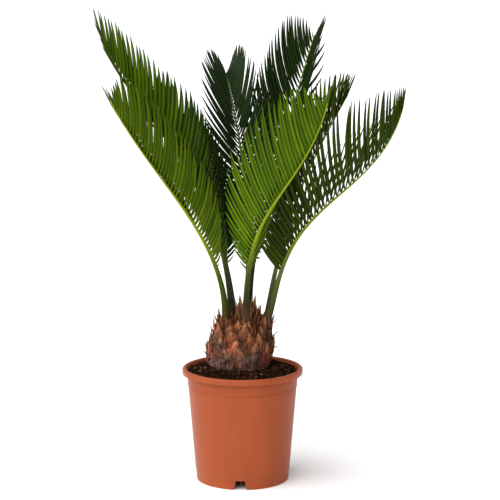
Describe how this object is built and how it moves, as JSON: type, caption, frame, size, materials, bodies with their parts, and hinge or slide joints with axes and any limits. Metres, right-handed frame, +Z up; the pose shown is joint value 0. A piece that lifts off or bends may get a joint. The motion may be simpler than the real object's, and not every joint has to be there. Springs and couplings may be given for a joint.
{
  "type": "potted sago palm",
  "caption": "Young sago palm with a scaly bulb-shaped trunk and stiff feather-shaped fronds, in a round plastic nursery pot.",
  "frame": {"origin": "middle of the pot's underside, on the ground plane that the pot stands on", "axes": "+Z up, -Y towards the front of the plant, +X to its right as seen from the front"},
  "size_m": [0.4312, 0.5228, 0.6615],
  "materials": {
    "pot": "moulded terracotta-coloured plastic, satin",
    "potting_mix": "dark peat with bark and light grit",
    "trunk": "dry old leaf bases, red-brown to grey",
    "crown_scales": "papery brown scales",
    "fronds": "leathery green leaflets with a soft sheen"
  },
  "bodies": {
    "root": {"pot": "pot", "potting_mix": "potting_mix", "trunk": "trunk", "crown_scales": "crown_scales", "frond_left_low": "fronds", "frond_left_high": "fronds", "frond_rear_left": "fronds", "frond_rear": "fronds", "frond_top": "fronds", "frond_front": "fronds", "frond_right_inner": "fronds", "frond_right_outer": "fronds"}
  },
  "joints": []
}
